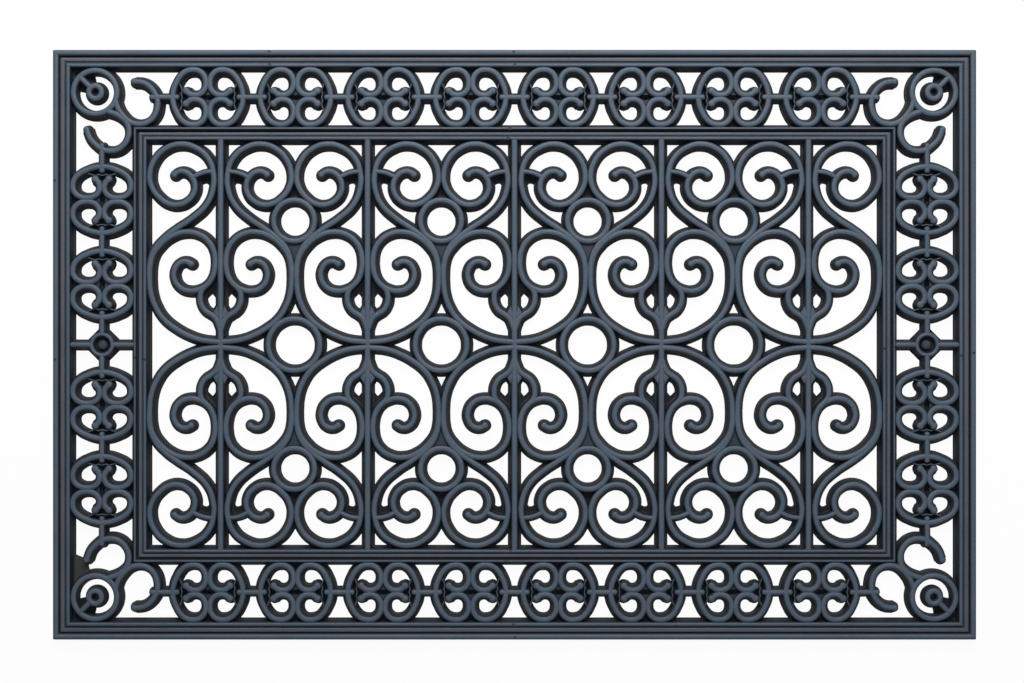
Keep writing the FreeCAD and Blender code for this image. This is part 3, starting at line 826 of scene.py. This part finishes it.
# %% Corner ornaments and buttons
row_hook_shares = [
    (0.644, 0.545), (0.667, 0.618), (0.711, 0.690), (0.769, 0.751), (0.834, 0.783), (0.897, 0.790),
    (0.980, 0.764), (1.044, 0.697), (1.072, 0.611), (1.072, 0.531), (1.044, 0.459), (0.993, 0.392),
    (0.923, 0.349), (0.834, 0.339)]
side_hook_shares = [
    (0.571, 0.657), (0.647, 0.684), (0.711, 0.724), (0.763, 0.783), (0.782, 0.863), (0.769, 0.943),
    (0.724, 1.017), (0.660, 1.062), (0.583, 1.075), (0.507, 1.056), (0.443, 1.009), (0.385, 0.943),
    (0.348, 0.848)]
button_section = [
    (0.0, 3.0), (1.6, 3.2), (2.5, 5.6), (3.2, 7.6), (4.0, 8.75), (5.0, 9.35), (6.1, 9.5), (7.3, 9.3),
    (8.5, 8.75), (9.3, 7.9), (9.7, 6.9), (10.3, 3.4), (10.5, 2.8), (11.0, 2.0), (11.3, 1.6), (11.5, 1.0),
    (11.7, 0.0), (0.0, 0.0)]
corner_ring_radius = 21.5 * mm
inset = outer_rail_width - wall_draft + 2.8 * mm + corner_ring_radius
ring_x = inset - half_length
ring_y = half_width - inset


def make_hook(name, shares):
    line = [(u * corner_span_x - half_length, half_width - v * corner_span_y) for u, v in shares]
    return [carry(name, line, strand_section), round_end(name + "_end", *line[-1], 3.8, 5.6)]


ring_profile = [(corner_ring_radius + across, up) for across, up in reversed(half_section())]
ring_profile += [(corner_ring_radius - across, up) for across, up in half_section(foot_reach=4.6)[1:]]
ornament = [spin_round("corner_ring", ring_profile + ring_profile[:1], ring_x, ring_y, steps=56)]
ornament += make_hook("row_hook", row_hook_shares) + make_hook("side_hook", side_hook_shares)
ornament.append(plate("corner_web", [(-437.5, 272.5), (-437.5, 258.0), (-423.0, 272.5)], web_top))
ornament = soften(join("corner_master", ornament))
button = spin_round("button", [(x * mm, z * mm) for x, z in button_section], ring_x, ring_y, steps=36)
reach = corner_ring_radius * math.cos(math.pi / 4)
spoke_line = [(ring_x - share * reach, ring_y + share * reach) for share in (1.02, 0.7, 0.36)]
spoke_web = []
for turn_by, far in ((94, 12), (98, 22), (115, 23), (135, 24), (155, 23), (172, 22), (176, 12)):
    angle = math.radians(turn_by)
    spoke_web.append((ring_x / mm + far * math.cos(angle), ring_y / mm + far * math.sin(angle)))
button = soften(join("button_master", [carry("spoke", spoke_line, link_section, steps=2), button,
                                       plate("spoke_web", spoke_web, web_top)]))
corner_kinds = (("corner_beads", "corner_ornament", ornament), ("button", "corner_button", button))
for side, flip_y in (("back", False), ("front", True)):
    for end, flip_x in (("left", False), ("right", True)):
        for kind, node, master in corner_kinds:
            piece = copy_of(master, flip_x=flip_x, flip_y=flip_y)
            piece.name = "%s_%s_%s" % (kind, side, end)
            declare(piece, "%s_%s_%s" % (node, side, end))
print("pieces so far:", len(made))

# %% [markdown]
# ## Webs
# Where three beads close in on a small three-sided space, the mould leaves a web instead of a hole. The
# webs under the small rings stand high, so the rubber's painted light by height shows them as grey
# triangles.
# The others lie low in the rubber's painted shade, and so does one plate of flash at the front left corner.
# Each is a flat plate with its edges hidden in the walls around it.

# %% Webs beside the rings, the stems and the spurs
# The webs under the small rings stand high enough for the painted light by height to show them grey.
ring_webs = (([(0, 84.0), (9.0, 103.5), (-9.0, 103.5)], 6.3),
             ([(0, 157.5), (8.5, 141.0), (-8.5, 141.0)], 1.4))
stem_web = [
    (4.5, 73.0), (9.0, 66.5), (15.0, 58.5), (16.0, 50.0), (14.0, 46.0), (12.2, 48.0), (9.4, 50.6),
    (8.0, 49.0), (5.0, 45.0)]
flash = [
    (-436.5, -208.0), (-427.0, -212.0), (-423.5, -218.0), (-422.0, -226.0), (-426.0, -233.0),
    (-437.0, -236.0)]
spur_web = [(8.5, 171.5), (27.0, 166.5), (22.0, 157.5), (17.2, 160.2), (14.5, 160.4), (12.0, 157.5)]
webs = []
for sign in (1, -1):
    for x in lines_between:
        for corners, top in ring_webs:
            webs.append(plate("ring_web", [(x / mm + u, sign * v) for u, v in corners], top))
    for middle in middles:
        for side in (1, -1):
            for name, corners in (("stem_web", stem_web), ("spur_web", spur_web)):
                webs.append(plate(name, [(middle / mm + side * u, sign * v) for u, v in corners], web_top))
webs.append(plate("flash", flash, 2.6))
declare(soften(join("low_webs", webs)))
print("webs:", len(webs))

# %% [markdown]
# ## The floor, the light and the camera
# The photo is a product shot on plain white, taken from straight above with a soft light behind the mat's
# back edge. The camera looks straight down from about 1.34 m. Its frame is shifted a little towards the
# back, so that it stands nearer the front edge and sees the front side of the walls, as in the photo. The
# floor is white to the camera and plain grey to the light, and a small share of plain paint in it still
# takes the mat's own shadow.

# %% Floor
floor_size = 200
floor_drop = 0.1 * mm
white_share = 0.95


def make_floor_finish():
    finish = Finish("white_floor")
    rays = finish.nodes.new("ShaderNodeLightPath")
    seen = Value(finish, rays.outputs["Is Camera Ray"]) + Value(finish, rays.outputs["Is Glossy Ray"])
    seen = finish.node("ShaderNodeMath", {"operation": "MINIMUM"},
                       {0: seen + Value(finish, rays.outputs["Is Transmission Ray"]), 1: 1.0})
    paint = finish.node("ShaderNodeBsdfDiffuse", inputs={"Color": (0.80, 0.80, 0.80, 1)})
    glow = finish.node("ShaderNodeEmission", inputs={"Color": (1, 1, 1, 1), "Strength": 1.0})
    both = finish.node("ShaderNodeMixShader", inputs={0: seen * white_share, 1: paint, 2: glow})
    finish.node("ShaderNodeOutputMaterial", inputs={"Surface": both})
    return finish.material


bpy.ops.object.select_all(action="DESELECT")
bpy.ops.mesh.primitive_plane_add(size=floor_size, location=(0, 0, -floor_drop))
floor = bpy.context.view_layer.objects.active
floor.name = "floor"
floor.data.materials.append(make_floor_finish())

# %% Light
world = bpy.data.worlds.new("studio")
bpy.context.scene.world = world
world.use_nodes = True
sky = world.node_tree.nodes["Background"]
sky.inputs["Color"].default_value = (0.92, 0.95, 1.0, 1)
sky.inputs["Strength"].default_value = 0.32


def add_lamp(name, place, aim, size, power, colour):
    bpy.ops.object.light_add(type="AREA", location=place)
    lamp = bpy.context.view_layer.objects.active
    lamp.name = name
    lamp.data.shape = "RECTANGLE"
    lamp.data.size, lamp.data.size_y = size
    lamp.data.energy = power
    lamp.data.color = colour
    lamp.rotation_mode = "QUATERNION"
    lamp.rotation_quaternion = (Vector(aim) - Vector(place)).to_track_quat("-Z", "Y")


add_lamp("key", (0.0, 1.15, 0.95), (0, -0.05, 0), (1.5, 0.5), 27, (1.0, 0.995, 0.98))
add_lamp("fill", (0.5, -0.5, 2.2), (0, 0, 0), (1.8, 1.8), 8, (0.95, 0.97, 1.0))

# %% Camera
camera_data = bpy.data.cameras.new("camera")
camera = bpy.data.objects.new("camera", camera_data)
bpy.context.collection.objects.link(camera)
frame_width = 1011.6 * mm
height_above_crest = 1.335
sensor_width = 36.0
aim_x, aim_y = -2.5 * mm, 3.15 * mm
camera_data.sensor_width = sensor_width
camera_data.lens = sensor_width * height_above_crest / frame_width
camera_data.shift_y = 0.05
camera.location = (aim_x, aim_y - camera_data.shift_y * frame_width, height_above_crest + mat_height)
camera.rotation_euler = (0, 0, 0)
bpy.context.scene.camera = camera
bpy.context.scene.view_settings.view_transform = "Standard"
print("lens %.1f mm" % camera_data.lens)

# %% [markdown]
# ## Clear the workbench and close
# The masters and the section curves were only tools, so they go. The last step counts the triangles of the
# dressed mat and names its largest piece.

# %% Remove the masters
masters = (stem, scroll, curl, leaf, spur, small_ring, centre_ring, row_medallion, side_medallion, ornament,
           button)
sections = (strand_section, stem_section, spur_section, link_section, ridge_section)
for tool in masters + sections:
    bpy.data.objects.remove(tool)
triangles = {piece.name: sum(len(face.vertices) - 2 for face in piece.data.polygons) for piece in made}
largest = max(triangles, key=triangles.get)
print("pieces:", len(made), "with", sum(triangles.values()), "triangles in all")
print("largest piece:", largest, "with", triangles[largest])
